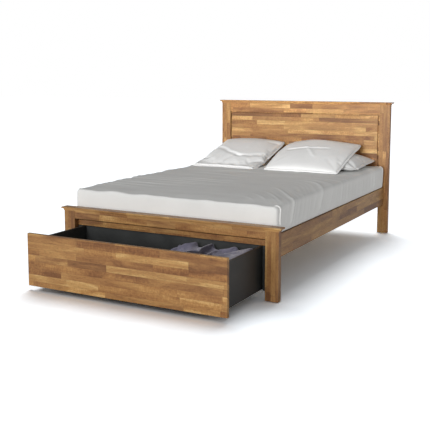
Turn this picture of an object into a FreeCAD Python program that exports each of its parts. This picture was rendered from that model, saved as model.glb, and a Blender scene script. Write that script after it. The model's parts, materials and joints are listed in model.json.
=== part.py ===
"""Double bed in butcher-block acacia, with one wide storage drawer on castors at the foot end.

Millimetres. X runs across the bed, Y from the foot to the headboard, Z up from the floor.
Every shape is drawn in the foot frame, where Y is 0 at the footboard's front face, and is moved
at the end so that the origin is at the centre of the whole object's footprint. The drawer is
drawn pulled out, almost to its stops.
"""

import FreeCAD, Part
import os

V = FreeCAD.Vector
UP = V(0, 0, 1)
BACK = V(0, 1, 0)
RIGHT = V(1, 0, 0)

# ---- driving dimensions ----
bed_width = 1420.0           # over the legs
rail_run = 2024.0            # clear length between the footboard's and the headboard's legs
leg_width = 78.0
leg_depth = 36.0
glide_height = 3.0
headboard_height = 995.0
footboard_height = 403.0
cap_height = 21.0
cap_overhang = 11.0          # past the legs' front and back faces
cap_end_overhang = 16.0
rail_outer = 675.0           # centre plane to the side rails' outer faces
rail_thickness = 25.0
rail_bottom = 222.0
rail_top = 351.0
frame_setback = 2.0          # rails and panel stand this far behind the legs' faces

footboard_rail_bottom = 335.5
footboard_rail_depth = 28.0
stop_rail_bottom = 292.5
stop_rail_top = 323.5
stop_rail_depth = 22.0

headboard_rail_bottom = 904.0
lower_rail_bottom = 300.0
lower_rail_top = 400.0
headboard_rail_depth = 28.0
panel_gap = 14.0             # shadow groove round the raised field
panel_groove_depth = 14.0
tongue_thickness = 8.0
tongue_length = 10.0

slat_count = 14
slat_width = 70.0
slat_thickness = 18.0
ledger_width = 25.0
ledger_height = 30.0
beam_width = 40.0
beam_height = 38.0
centre_leg_size = 40.0
centre_leg_places = (560.0, 1400.0)
leveller_height = 14.0

drawer_pull = 423.0          # how far the drawer stands open
front_gap = 5.0
front_thickness = 20.0
front_bottom = 25.0
front_top = 323.0
box_half_width = 600.0
box_depth = 470.0
box_bottom = 53.0
box_top = 289.0
board = 15.0                 # drawer box boards
bottom_thickness = 8.0
bottom_height = 63.0         # underside of the drawer's bottom
bottom_groove = 6.0

wheel_radius = 20.0
wheel_width = 18.0
wheel_clear = 0.3            # the wheels' treads stand this far above the glides' plane
castor_height = 50.0
castor_across = 500.0
castor_setback = 63.0        # from the panel's back to the front wheels' axles
castor_spread = 345.0

hook_plate_bottom = 240.0
hook_plate_height = 96.0
hook_plate_width = 18.0
hook_plate_steel = 2.0
guide_depth = 18.0
guide_reach = 602.0
guide_bottom = 45.0
guide_top = 290.0
castor_plate_thickness = 2.5
stop_block_depth = 14.0
stop_block_height = 25.0
stop_block_centre = 304.5
stop_block_places = (-520.0, 520.0)
catch_across = 400.0
catch_depth = 15.0
catch_top = 312.0
bracket_steel = 2.5
bracket_ear = 34.0
bracket_reach = 34.0

mattress_half_width = 668.0
mattress_front = 66.0
mattress_top = 505.0
sheet_thickness = 1.5

fit = 0.15                   # clearance round screws, dowels and pins in their holes
groove_clear = 0.1           # clearance of a tongue or an inset plate in its groove
end_clear = 2.0              # crosswise boards stop this far short of the side rails
dowel_inset = 38.0           # the caps' end dowels stand this far in from the legs' outer faces

# ---- derived dimensions ----
half_width = bed_width / 2
leg_inner = half_width - leg_width
headboard_face = leg_depth + rail_run
cap_under_foot = footboard_height - cap_height
cap_under_head = headboard_height - cap_height
slat_under = rail_top - 1 - slat_thickness
ledger_inner = rail_outer - rail_thickness - ledger_width
beam_bottom = slat_under - beam_height
front_face = -drawer_pull
box_front = front_face + front_thickness
box_back = box_front + box_depth
front_half_width = leg_inner - front_gap
bottom_top = bottom_height + bottom_thickness
stop_rail_back = leg_depth + stop_rail_depth
object_front = front_face
object_back = headboard_face + leg_depth + cap_overhang
origin_y = (object_front + object_back) / 2
sides = (("left", -1), ("right", 1))


# ---- helpers ----
def block(x0, x1, y0, y1, z0, z1):
    """A box between two corners, whichever way round they are given."""
    corner = V(min(x0, x1), min(y0, y1), min(z0, z1))
    return Part.makeBox(abs(x1 - x0), abs(y1 - y0), abs(z1 - z0), corner)


def rounded(shape, radius, chosen):
    """The shape with the edges that chosen() picks rounded."""
    return shape.makeFillet(radius, [e for e in shape.Edges if chosen(e)])


def along(edge, axis):
    """Whether a straight edge runs along an axis."""
    ends = [v.Point for v in edge.Vertexes]
    if len(ends) != 2:
        return False
    run = ends[1] - ends[0]
    return run.Length > 1e-6 and abs(run.dot(axis)) > 0.999 * run.Length


def eased(shape, axis, radius=2.0):
    """A board with its long edges eased."""
    return rounded(shape, radius, lambda e: along(e, axis))


def rod(radius, length, start, direction):
    return Part.makeCylinder(radius, length, start, direction)


def group(shapes):
    return Part.makeCompound(shapes)


def cut_by(shape, tools):
    """The shape less every tool that reaches into it."""
    near = [t for t in tools if shape.BoundBox.intersect(t.BoundBox)]
    return shape.cut(Part.makeCompound(near)) if near else shape


def screw(point, direction, shank, length, head, head_height):
    """A countersunk screw whose head is flush at point, driven along direction."""
    cone = Part.makeCone(head, shank, head_height, point, direction)
    body = rod(shank, length - head_height, point + direction * head_height, direction)
    return cone.fuse(body).removeSplitter()


def screw_hole(point, direction, shank, length, head, head_height):
    """The hole for that screw, a little larger all round."""
    start = point - direction * 1.0
    flare = (head - shank) / head_height
    cone = Part.makeCone(head + fit + flare, shank + fit, head_height + 1.0, start, direction)
    body = rod(shank + fit, length - head_height + fit, point + direction * head_height, direction)
    return cone.fuse(body)


def dowel(centre, direction, radius, length):
    return rod(radius, length, centre - direction * (length / 2), direction)


def dowel_hole(centre, direction, radius, length):
    return dowel(centre, direction, radius + fit, length + 2)


# ---- fasteners: where they are, and what they are ----
class Fasteners:
    """One kind of fastener: its places, its solids and the holes that it needs."""

    def __init__(self, make, make_hole, places, *sizes):
        self.solids = [make(point, way, *sizes) for point, way in places]
        self.holes = [make_hole(point, way, *sizes) for point, way in places]


def frame_dowel_places():
    places = []
    rails = (
        (frame_setback + footboard_rail_depth / 2, (348, 368)),
        (headboard_face + frame_setback + headboard_rail_depth / 2, (920, 958)),
        (headboard_face + frame_setback + headboard_rail_depth / 2, (318, 378)),
    )
    for _, side in sides:
        for y, heights in rails:
            places += [(V(side * leg_inner, y, z), RIGHT) for z in heights]
    return places


def cap_dowel_places():
    places = []
    end = half_width - dowel_inset
    for y, z in ((leg_depth / 2, cap_under_foot), (headboard_face + leg_depth / 2, cap_under_head)):
        places += [(V(x, y, z), UP) for x in (-end, -400, 0, 400, end)]
    return places


def box_dowel_places():
    places = []
    for _, side in sides:
        for y in (box_front + board / 2, box_back - board / 2):
            places += [(V(side * (box_half_width - board), y, z), RIGHT) for z in (100, 170, 250)]
    return places


def slat_centres():
    first = leg_depth + stop_rail_depth + 45
    last = headboard_face - 45
    return [first + (last - first) * i / (slat_count - 1) for i in range(slat_count)]


def slat_screw_places():
    across = ledger_inner + ledger_width / 2
    top = slat_under + slat_thickness
    return [(V(side * across, y, top), -UP) for y in slat_centres() for _, side in sides]


def ledger_screw_places():
    height = slat_under - ledger_height / 2
    run = [leg_depth + 90 + i * 307 for i in range(7)]
    return [(V(side * ledger_inner, y, height), RIGHT * side) for y in run for _, side in sides]


def hook_plate_screw_places():
    """Two screws in each plate, into the leg and into the rail's end."""
    places = []
    x = rail_outer - rail_thickness / 2
    for _, side in sides:
        for face, way in ((leg_depth, -1), (headboard_face, 1)):
            for z in (hook_plate_bottom + 8, hook_plate_bottom + hook_plate_height - 8):
                point = V(side * x, face - way * groove_clear, z)
                places.append((point, BACK * way))
                places.append((point, BACK * -way))
    return places


def stop_rail_screw_places():
    height = (stop_rail_bottom + stop_rail_top) / 2
    return [(V(side * (leg_inner + 8), stop_rail_back, height), -BACK) for _, side in sides]


def guide_plate_screw_places():
    x = leg_inner + 8
    return [(V(s * x, leg_depth + guide_depth, z), -BACK) for _, s in sides for z in (80, 170, 260)]


def front_screw_places():
    inner = box_front + board
    return [(V(x, inner, z), -BACK) for x in (-480, -160, 160, 480) for z in (110, 235)]


def batten_screw_places():
    """Up through the castor battens into the drawer's bottom."""
    run = (box_front + 30, box_front + box_depth / 2, box_back - 30)
    return [(V(s * castor_across, y, castor_height), UP) for _, s in sides for y in run]


def castor_axle_places():
    front = box_front + castor_setback
    return [(s * castor_across, y) for y in (front, front + castor_spread) for _, s in sides]


def castor_screw_places():
    places = []
    underside = castor_height - castor_plate_thickness
    for x, y in castor_axle_places():
        places += [(V(x + i * 21, y + j * 17, underside), UP) for i in (-1, 1) for j in (-1, 1)]
    return places


def stop_screw_places():
    """Forward through the stop blocks into the drawer's panel."""
    return [(V(x, box_front + stop_block_depth, stop_block_centre), -BACK) for x in stop_block_places]


def catch_screw_places():
    places = []
    for _, side in sides:
        places += [(V(side * catch_across, box_back + catch_depth, z), -BACK) for z in (255, 278)]
    return places


def bracket_screw_places():
    places = []
    inner = leg_depth + stop_rail_depth + bracket_steel
    for x in (-bracket_ear, bracket_ear):
        places.append((V(x, inner, (stop_rail_bottom + stop_rail_top) / 2), -BACK))
        places.append((V(x, headboard_face + frame_setback - bracket_steel, beam_bottom + 20), BACK))
    return places


frame_dowels = Fasteners(dowel, dowel_hole, frame_dowel_places(), 5.0, 50.0)
cap_dowels = Fasteners(dowel, dowel_hole, cap_dowel_places(), 4.0, 20.0)
box_dowels = Fasteners(dowel, dowel_hole, box_dowel_places(), 3.0, 20.0)
slat_screws = Fasteners(screw, screw_hole, slat_screw_places(), 1.8, 35.0, 3.6, 2.2)
ledger_screws = Fasteners(screw, screw_hole, ledger_screw_places(), 2.2, 42.0, 4.4, 2.6)
hook_plate_screws = Fasteners(screw, screw_hole, hook_plate_screw_places(), 1.8, 22.0, 3.4, 1.8)
rail_screws = Fasteners(screw, screw_hole, stop_rail_screw_places(), 2.2, 45.0, 4.4, 2.6)
guide_screws = Fasteners(screw, screw_hole, guide_plate_screw_places(), 2.0, 38.0, 4.0, 2.4)
front_screws = Fasteners(screw, screw_hole, front_screw_places(), 2.0, 28.0, 4.0, 2.4)
batten_screws = Fasteners(screw, screw_hole, batten_screw_places(), 1.8, 18.0, 3.4, 1.8)
castor_screws = Fasteners(screw, screw_hole, castor_screw_places(), 2.0, 13.0, 3.6, 1.6)
stop_screws = Fasteners(screw, screw_hole, stop_screw_places(), 1.8, 28.0, 3.4, 1.8)
catch_screws = Fasteners(screw, screw_hole, catch_screw_places(), 2.0, 26.0, 4.0, 2.4)
bracket_screws = Fasteners(screw, screw_hole, bracket_screw_places(), 1.8, 18.0, 3.4, 1.6)


# ---- legs ----
def hook_solid(side, face, way, z):
    """One hook: a stem through the slot and a nose that drops behind it."""
    x = side * (rail_outer - rail_thickness / 2)
    stem = block(x - 1.5, x + 1.5, face - way * 1.0, face + way * 9.0, z, z + 14)
    nose = block(x - 1.5, x + 1.5, face + way * 4.0, face + way * 9.0, z - 10, z + 14)
    return stem.fuse(nose).removeSplitter()


def hook_heights():
    return (hook_plate_bottom + 28, hook_plate_bottom + 62)


def leg_fitting_cuts(side, face, way):
    """The mortise for the slot plate and the pocket behind each of its slots."""
    x = side * (rail_outer - rail_thickness / 2)
    half = hook_plate_width / 2
    top = hook_plate_bottom + hook_plate_height
    deep = face + way * hook_plate_steel
    cuts = [block(x - half, x + half, face - way, deep, hook_plate_bottom, top)]
    for z in hook_heights():
        cuts.append(block(x - 3, x + 3, face, face + way * 12, z - 14, z + 20))
    return cuts


def leg(side, front, top, fitting_face, way):
    outer = side * half_width
    inner = side * leg_inner
    body = block(outer, inner, front, front + leg_depth, glide_height, top)
    body = eased(body, UP)
    grooves = [tongue(groove_clear)] + leg_fitting_cuts(side, fitting_face, way)
    return cut_by(body, grooves + leg_holes + glide_pin_holes())


def glide_places():
    x = half_width - leg_width / 2
    return [(side * x, y) for y in (leg_depth / 2, headboard_face + leg_depth / 2) for _, side in sides]


def glide_pin_holes():
    return [rod(1.5 + fit, 14, V(x, y, 0.5), UP) for x, y in glide_places()]


def floor_glide(x, y):
    """A nylon disc with a pin into the leg's foot."""
    disc = rod(14, glide_height, V(x, y, 0), UP)
    disc = rounded(disc, 0.8, lambda e: e.BoundBox.ZMax < 0.1)
    return disc.fuse(rod(1.5, 10, V(x, y, glide_height), UP)).removeSplitter()


# ---- headboard ----
def cap(front, under):
    """An overhanging top board with a cove under its edge, worked from one piece."""
    lip = 9.0
    cove = 8.0
    proud = 2.0
    neck = block(-half_width - proud, half_width + proud, front - proud, front + leg_depth + proud,
                 under, under + cap_height - lip)
    slab = block(-half_width - cap_end_overhang, half_width + cap_end_overhang,
                 front - cap_overhang, front + leg_depth + cap_overhang,
                 under + cap_height - lip, under + cap_height)
    shelf = under + cap_height - lip
    slab = rounded(slab, 2.5, lambda e: e.BoundBox.ZMin > shelf + 0.1 or along(e, UP))
    whole = slab.fuse(neck)

    def inner_corner(edge):
        box = edge.BoundBox
        level = abs(box.ZMin - shelf) < 0.01 and abs(box.ZMax - shelf) < 0.01
        within = box.XMax < half_width + proud + 0.1 and box.XMin > -half_width - proud - 0.1
        near = box.YMin > front - proud - 0.1 and box.YMax < front + leg_depth + proud + 0.1
        return level and within and near

    whole = rounded(whole, cove, inner_corner)
    return cut_by(whole, cap_dowels.holes)


def headboard_rail(bottom, top):
    front = headboard_face + frame_setback
    rail = block(-leg_inner, leg_inner, front, front + headboard_rail_depth, bottom, top)
    rail = rounded(rail, 1.5, lambda e: along(e, RIGHT) and e.BoundBox.YMax < front + 0.1)
    tools = [tongue(groove_clear)] + frame_dowels.holes + cap_dowels.holes + bracket_screws.holes
    return cut_by(rail, tools)


def tongue(clear):
    """The panel's thin edge all round, which stands in the frame's grooves."""
    back = headboard_face + panel_groove_depth + frame_setback + tongue_thickness
    reach = tongue_length + clear
    return block(-leg_inner - reach, leg_inner + reach, back - tongue_thickness - clear, back + clear,
                 lower_rail_top - reach, headboard_rail_bottom + reach)


def headboard_panel():
    front = headboard_face + frame_setback
    field = block(-leg_inner + panel_gap, leg_inner - panel_gap, front, front + panel_groove_depth + 1,
                  lower_rail_top + panel_gap, headboard_rail_bottom - panel_gap * 0.7)
    field = rounded(field, 3.0, lambda e: e.BoundBox.YMax < front + 0.1)
    return field.fuse(tongue(0)).removeSplitter()


# ---- footboard ----
def footboard_rail():
    rail = block(-leg_inner, leg_inner, frame_setback, frame_setback + footboard_rail_depth,
                 footboard_rail_bottom, cap_under_foot)
    rail = rounded(rail, 1.5, lambda e: along(e, RIGHT) and e.BoundBox.ZMax < footboard_rail_bottom + 0.1)
    return cut_by(rail, frame_dowels.holes + cap_dowels.holes)


def drawer_stop_rail():
    half = rail_outer - rail_thickness - end_clear
    rail = block(-half, half, leg_depth, stop_rail_back, stop_rail_bottom, stop_rail_top)
    rail = eased(rail, RIGHT, 1.5)
    return cut_by(rail, rail_screws.holes + bracket_screws.holes)


def guide_plate(side):
    """A board behind each front leg that keeps the drawer's box square as it slides."""
    plate = block(side * guide_reach, side * (rail_outer - rail_thickness - end_clear), leg_depth,
                  leg_depth + guide_depth, guide_bottom, guide_top)
    return cut_by(plate, guide_screws.holes)


def guide_strip(side):
    """The nylon strip on the guide plate's inner edge, which the drawer's side rubs on."""
    face = side * guide_reach
    return block(face, face - side * 1.4, leg_depth + 2, leg_depth + guide_depth - 2,
                 guide_bottom + 10, guide_top - 10)


# ---- side rails, slats and centre beam ----
def side_rail(side):
    outer = side * rail_outer
    rail = block(outer, outer - side * rail_thickness, leg_depth, headboard_face, rail_bottom, rail_top)
    rail = eased(rail, BACK)
    cuts = []
    half = hook_plate_width / 2
    x = side * (rail_outer - rail_thickness / 2)
    top = hook_plate_bottom + hook_plate_height
    for face, way in ((leg_depth, -1), (headboard_face, 1)):
        deep = face - way * hook_plate_steel
        cuts.append(block(x - half, x + half, face + way, deep, hook_plate_bottom, top))
    return cut_by(rail, cuts + hook_plate_screws.holes + ledger_screws.holes)


def plate_blank(side, face, way):
    """A steel plate let in behind a face, on the side that way points to."""
    x = side * (rail_outer - rail_thickness / 2)
    half = hook_plate_width / 2
    reach = half - groove_clear
    top = hook_plate_bottom + hook_plate_height
    return block(x - reach, x + reach, face + way * groove_clear, face + way * hook_plate_steel,
                 hook_plate_bottom + groove_clear, top - groove_clear)


def leg_slot_plate(side, face, way):
    plate = plate_blank(side, face, way)
    x = side * (rail_outer - rail_thickness / 2)
    slots = [block(x - 2, x + 2, face - way, face + way * 4, z - 12, z + 18) for z in hook_heights()]
    return cut_by(plate, slots + hook_plate_screws.holes)


def rail_hook_plate(side, face, way):
    plate = plate_blank(side, face, -way)
    for z in hook_heights():
        plate = plate.fuse(hook_solid(side, face, way, z))
    return cut_by(plate.removeSplitter(), hook_plate_screws.holes)


def at_four_joints(make):
    joints = ((leg_depth, -1), (headboard_face, 1))
    return group([make(side, face, way) for _, side in sides for face, way in joints])


def slat_ledger(side):
    inner = side * ledger_inner
    strip = block(inner, inner + side * ledger_width, stop_rail_back + 2, headboard_face - 4,
                  slat_under - ledger_height, slat_under)
    return cut_by(strip, ledger_screws.holes + slat_screws.holes)


def slat(y):
    half = rail_outer - rail_thickness - end_clear
    front = y - slat_width / 2
    plank = block(-half, half, front, front + slat_width, slat_under, slat_under + slat_thickness)
    plank = eased(plank, RIGHT, 3.0)
    return cut_by(plank, slat_screws.holes + beam_bolts_holes())


def centre_beam():
    beam = block(-beam_width / 2, beam_width / 2, stop_rail_back + bracket_steel + 1,
                 headboard_face + frame_setback - bracket_steel - 1, beam_bottom, slat_under)
    return cut_by(beam, beam_bolts_holes())


def beam_bracket(wall, way):
    """A steel saddle that holds the beam's end. way points from the wall to the beam."""
    low = beam_bottom - bracket_steel
    half = beam_width / 2 + 0.3
    ear = bracket_ear + 8
    nose = wall + way * bracket_reach
    back = block(-ear, ear, wall, wall + way * bracket_steel, low, stop_rail_top)
    seat = block(-half - bracket_steel, half + bracket_steel, wall, nose, low, beam_bottom - groove_clear)
    cheeks = [block(s * half, s * (half + bracket_steel), wall, nose, low, slat_under - 6) for _, s in sides]
    saddle = back.fuse([seat] + cheeks).removeSplitter()
    return cut_by(saddle, bracket_screws.holes)


def centre_leg(y):
    half = centre_leg_size / 2
    post = block(-half, half, y - half, y + half, leveller_height, beam_bottom)
    post = eased(post, UP)
    stud_hole = rod(4 + fit, 30, V(0, y, leveller_height - 1), UP)
    return cut_by(post, beam_bolts_holes() + [stud_hole])


def leveller(y):
    """A centre leg's adjustable foot: a nylon pad on a threaded stud."""
    pad = Part.makeCone(20, 17, leveller_height - 4, V(0, y, 0), UP)
    nut = rod(8, 3.9, V(0, y, leveller_height - 4), UP)
    stud = rod(4, 26, V(0, y, leveller_height - 1), UP)
    return pad.fuse([nut, stud]).removeSplitter()


def beam_bolt(y):
    """A hexagon socket bolt down through the beam into the centre leg."""
    head = rod(6.5, 6, V(0, y, slat_under - 6.5), UP)
    shank = rod(3, 88, V(0, y, slat_under - 94), UP)
    socket = rod(2.5, 4, V(0, y, slat_under - 3.5), UP)
    return head.fuse(shank).cut(socket).removeSplitter()


def beam_bolts_holes():
    holes = []
    for y in centre_leg_places:
        holes.append(rod(6.5 + fit, 7.5, V(0, y, slat_under - 6.5), UP))
        holes.append(rod(3 + fit, 90, V(0, y, slat_under - 95), UP))
    return holes


# ---- drawer ----
def drawer_front():
    panel = block(-front_half_width, front_half_width, front_face, box_front, front_bottom, front_top)
    panel = rounded(panel, 2.0, lambda e: e.BoundBox.YMax < front_face + 0.1)
    return cut_by(panel, front_screws.holes + stop_screws.holes)


def bottom_board(clear):
    reach = bottom_groove - 0.5 + clear
    return block(-box_half_width + board - reach, box_half_width - board + reach,
                 box_front + board - reach, box_back - board + reach,
                 bottom_height - clear, bottom_top + clear)


def drawer_side(side):
    outer = side * box_half_width
    wall = block(outer, outer - side * board, box_front, box_back, box_bottom, box_top)
    wall = rounded(wall, 1.0, lambda e: along(e, BACK) and e.BoundBox.ZMin > box_top - 0.1)
    return cut_by(wall, [bottom_board(groove_clear)] + box_dowels.holes)


def drawer_end(y):
    half = box_half_width - board
    wall = block(-half, half, y, y + board, box_bottom, box_top)
    wall = rounded(wall, 1.0, lambda e: along(e, RIGHT) and e.BoundBox.ZMin > box_top - 0.1)
    tools = [bottom_board(groove_clear)] + box_dowels.holes + front_screws.holes + catch_screws.holes
    return cut_by(wall, tools)


def drawer_bottom():
    return cut_by(bottom_board(0), batten_screws.holes)


def castor_batten(side):
    x = side * castor_across
    front = box_front + board + 0.5
    back = box_back - board - 0.5
    batten = block(x - 34, x + 34, front, back, castor_height, bottom_height)
    return cut_by(batten, batten_screws.holes + castor_screws.holes)


def stop_block(x):
    low = stop_block_centre - stop_block_height / 2
    wood = block(x - 22, x + 22, box_front, box_front + stop_block_depth, low, low + stop_block_height)
    return cut_by(eased(wood, RIGHT, 1.5), stop_screws.holes)


def stop_bumper(x):
    """A thin rubber button on the stop block."""
    seat = V(x + 12, box_front + stop_block_depth, stop_block_centre)
    button = rod(5, 1.6, seat, BACK)
    return rounded(button, 0.6, lambda e: e.BoundBox.YMin > seat.y + 1.5)


def pull_out_catch(side):
    """A block on the back of the drawer that meets the stop rail when the drawer is right out."""
    x = side * catch_across
    wood = block(x - 30, x + 30, box_back, box_back + catch_depth, 240, catch_top)
    return cut_by(eased(wood, UP, 2.0), catch_screws.holes)


def castor_fork(x, y):
    """A fixed castor's pressed steel body: a plate with two cheeks."""
    under = castor_height - castor_plate_thickness
    plate = block(x - 29, x + 29, y - 24, y + 24, under, castor_height)
    plate = eased(plate, UP, 5.0)
    axle_height = wheel_radius + wheel_clear
    cheeks = []
    for _, s in sides:
        near = x + s * (wheel_width / 2 + 1.5)
        far = near + s * castor_plate_thickness
        tab = block(near, far, y - 9, y + 9, axle_height, under)
        cheeks.append(tab.fuse(rod(9, castor_plate_thickness, V(min(near, far), y, axle_height), RIGHT)))
    fork = plate.fuse(cheeks).removeSplitter()
    bore = rod(3 + fit, 60, V(x - 30, y, axle_height), RIGHT)
    return cut_by(fork, castor_screws.holes + [bore])


def castor_axle(x, y):
    """The rivet that the wheel turns on."""
    axle_height = wheel_radius + wheel_clear
    half = wheel_width / 2 + 1.5 + castor_plate_thickness
    pin = rod(3, 2 * half, V(x - half, y, axle_height), RIGHT)
    heads = [rod(4.5, 1.5, V(x - half - 1.5, y, axle_height), RIGHT),
             rod(4.5, 1.5, V(x + half, y, axle_height), RIGHT)]
    return pin.fuse(heads).removeSplitter()


def castor_wheel(x, y):
    """A nylon wheel with a rounded tread, a dished web and a hub."""
    axle_height = wheel_radius + wheel_clear
    left = x - wheel_width / 2
    wheel = rod(wheel_radius, wheel_width, V(left, y, axle_height), RIGHT)
    wheel = rounded(wheel, 3.0, lambda e: e.Curve.TypeId == "Part::GeomCircle")
    recess = V(left - 1, y, axle_height)
    dish = rod(14, 5, recess, RIGHT).cut(rod(6.5, 5, recess, RIGHT))
    other = dish.copy()
    other.translate(V(wheel_width - 3, 0, 0))
    bore = rod(3.05, wheel_width + 2, V(left - 1, y, axle_height), RIGHT)
    return wheel.cut(Part.makeCompound([dish, other])).cut(bore)


# ---- bedding ----
def soft_slab(x0, x1, profile, radius):
    """A plain closed cushion: a profile in Y and Z, drawn along X and rounded."""
    points = [V(x0, y, z) for y, z in profile]
    face = Part.Face(Part.makePolygon(points + points[:1]))
    solid = face.extrude(V(x1 - x0, 0, 0))
    return solid.makeFillet(radius, solid.Edges)


def mattress_block(grow, drop):
    half = mattress_half_width + grow
    back = headboard_face - 2.5 + grow
    body = block(-half, half, mattress_front - grow, back, rail_top + drop, mattress_top + grow)
    body = rounded(body, 28 + grow, lambda e: along(e, UP))
    return rounded(body, 16 + grow, lambda e: e.BoundBox.ZMin > mattress_top - 1)


def mattress():
    return mattress_block(0, 0.4)


def fitted_sheet():
    """A thin shell over the mattress's top and sides, open underneath."""
    return mattress_block(0.3 + sheet_thickness, 2.0).cut(mattress_block(0.3, -5))


def pillow(x0, x1, profile):
    return soft_slab(x0, x1, profile, 16)


bedding_top = mattress_top + 0.3 + sheet_thickness + 0.8
leaning_profile = ((1500, bedding_top), (1700, bedding_top), (1985, 600), (2040, 640),
                   (1990, 690), (1830, 684), (1640, 632), (1500, 548))
front_pillow_profile = ((1530, bedding_top), (1600, bedding_top), (1700, 592), (2000, 626), (2035, 652),
                        (1985, 698), (1800, 690), (1640, 632), (1530, 548))
flat_pillow_profile = ((1640, bedding_top), (2050, bedding_top), (2050, 606), (1745, 594), (1640, 535))


def drawer_throw():
    """A folded throw that fills the right-hand end of the drawer."""
    rest_on = bottom_top + 0.6
    body = block(60, box_half_width - board - 4, box_front + 70, box_back - board - 4, rest_on, 266)
    return body.makeFillet(22, body.Edges)


# ---- the whole object ----
leg_holes = (frame_dowels.holes + cap_dowels.holes + hook_plate_screws.holes
             + rail_screws.holes + guide_screws.holes)

beam_walls = ((stop_rail_back, 1), (headboard_face + frame_setback, -1))

nodes = {
    "headboard_top_rail": headboard_rail(headboard_rail_bottom, cap_under_head),
    "headboard_lower_rail": headboard_rail(lower_rail_bottom, lower_rail_top),
    "headboard_panel": headboard_panel(),
    "headboard_cap": cap(headboard_face, cap_under_head),
    "footboard_rail": footboard_rail(),
    "footboard_cap": cap(0, cap_under_foot),
    "drawer_stop_rail": drawer_stop_rail(),
    "centre_beam": centre_beam(),
    "beam_brackets": group([beam_bracket(wall, way) for wall, way in beam_walls]),
    "centre_leg_front": centre_leg(centre_leg_places[0]),
    "centre_leg_rear": centre_leg(centre_leg_places[1]),
    "centre_leg_levellers": group([leveller(y) for y in centre_leg_places]),
    "beam_bolts": group([beam_bolt(y) for y in centre_leg_places]),
    "slats": group([slat(y) for y in slat_centres()]),
    "leg_slot_plates": at_four_joints(leg_slot_plate),
    "rail_hook_plates": at_four_joints(rail_hook_plate),
    "floor_glides": group([floor_glide(x, y) for x, y in glide_places()]),
    "guide_plates": group([guide_plate(side) for _, side in sides]),
    "guide_strips": group([guide_strip(side) for _, side in sides]),
    "mattress": mattress(),
    "fitted_sheet": fitted_sheet(),
    "pillow_left": pillow(-655, -92, leaning_profile),
    "pillow_right": pillow(-48, 512, front_pillow_profile),
    "pillow_spare": pillow(45, 603, flat_pillow_profile),
    "drawer_front": drawer_front(),
    "drawer_inner_front": drawer_end(box_front),
    "drawer_back": drawer_end(box_back - board),
    "drawer_bottom": drawer_bottom(),
    "castor_battens": group([castor_batten(side) for _, side in sides]),
    "stop_blocks": group([stop_block(x) for x in stop_block_places]),
    "stop_bumpers": group([stop_bumper(x) for x in stop_block_places]),
    "pull_out_catches": group([pull_out_catch(side) for _, side in sides]),
    "castor_forks": group([castor_fork(x, y) for x, y in castor_axle_places()]),
    "castor_axles": group([castor_axle(x, y) for x, y in castor_axle_places()]),
    "drawer_throw": drawer_throw(),
    "frame_dowels": group(frame_dowels.solids),
    "cap_dowels": group(cap_dowels.solids),
    "box_dowels": group(box_dowels.solids),
    "slat_screws": group(slat_screws.solids),
    "ledger_screws": group(ledger_screws.solids),
    "hook_plate_screws": group(hook_plate_screws.solids),
    "leg_back_screws": group(rail_screws.solids + guide_screws.solids),
    "beam_bracket_screws": group(bracket_screws.solids),
    "drawer_front_screws": group(front_screws.solids),
    "castor_screws": group(batten_screws.solids + castor_screws.solids),
    "stop_block_screws": group(stop_screws.solids + catch_screws.solids),
}
for name, side in sides:
    nodes[f"headboard_leg_{name}"] = leg(side, headboard_face, cap_under_head, headboard_face, 1)
    nodes[f"footboard_leg_{name}"] = leg(side, 0, cap_under_foot, leg_depth, -1)
    nodes[f"side_rail_{name}"] = side_rail(side)
    nodes[f"slat_ledger_{name}"] = slat_ledger(side)
    nodes[f"drawer_side_{name}"] = drawer_side(side)
for place, (x, y) in zip(("front_left", "front_right", "rear_left", "rear_right"), castor_axle_places()):
    nodes[f"castor_wheel_{place}"] = castor_wheel(x, y)

os.makedirs("parts", exist_ok=True)
for node, shape in nodes.items():
    shape.translate(V(0, -origin_y, 0))
    shape.exportStep(f"parts/{node}.step")
    verdict = "valid" if shape.isValid() else "INVALID"
    print(node, len(shape.Solids), verdict, round(shape.Volume / 1000), "cm3")
print(len(nodes), "nodes; origin at foot frame y", origin_y)
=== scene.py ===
"""The finished look of the bed: wood, board, metal and bedding round the fixed CAD frame."""
import json
import math

import bmesh
import bpy
from mathutils import Matrix, Vector, noise


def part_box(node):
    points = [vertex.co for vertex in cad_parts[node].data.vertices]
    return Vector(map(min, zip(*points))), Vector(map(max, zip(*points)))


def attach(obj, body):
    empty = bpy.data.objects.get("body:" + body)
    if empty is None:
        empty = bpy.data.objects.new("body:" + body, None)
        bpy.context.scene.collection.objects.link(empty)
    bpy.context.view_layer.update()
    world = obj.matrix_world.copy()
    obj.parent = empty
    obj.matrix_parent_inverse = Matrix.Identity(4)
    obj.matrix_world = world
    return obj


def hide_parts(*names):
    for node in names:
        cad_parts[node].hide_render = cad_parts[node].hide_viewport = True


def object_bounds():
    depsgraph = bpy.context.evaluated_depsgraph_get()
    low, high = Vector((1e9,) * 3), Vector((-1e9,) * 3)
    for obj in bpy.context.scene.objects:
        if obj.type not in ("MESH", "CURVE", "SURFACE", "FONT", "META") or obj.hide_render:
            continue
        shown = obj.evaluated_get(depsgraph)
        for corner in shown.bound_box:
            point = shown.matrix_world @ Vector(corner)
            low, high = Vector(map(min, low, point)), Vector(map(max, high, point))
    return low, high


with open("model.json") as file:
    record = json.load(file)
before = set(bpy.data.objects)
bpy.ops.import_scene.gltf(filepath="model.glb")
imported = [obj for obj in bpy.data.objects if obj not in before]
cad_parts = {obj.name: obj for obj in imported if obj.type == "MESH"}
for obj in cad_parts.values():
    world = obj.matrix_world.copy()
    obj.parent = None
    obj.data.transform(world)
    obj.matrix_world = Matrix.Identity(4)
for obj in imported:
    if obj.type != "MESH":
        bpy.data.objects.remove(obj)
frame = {"nodes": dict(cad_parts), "record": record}
cad_low, cad_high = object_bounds()
nodes = frame["nodes"]
X, Y, Z = range(3)

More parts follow.
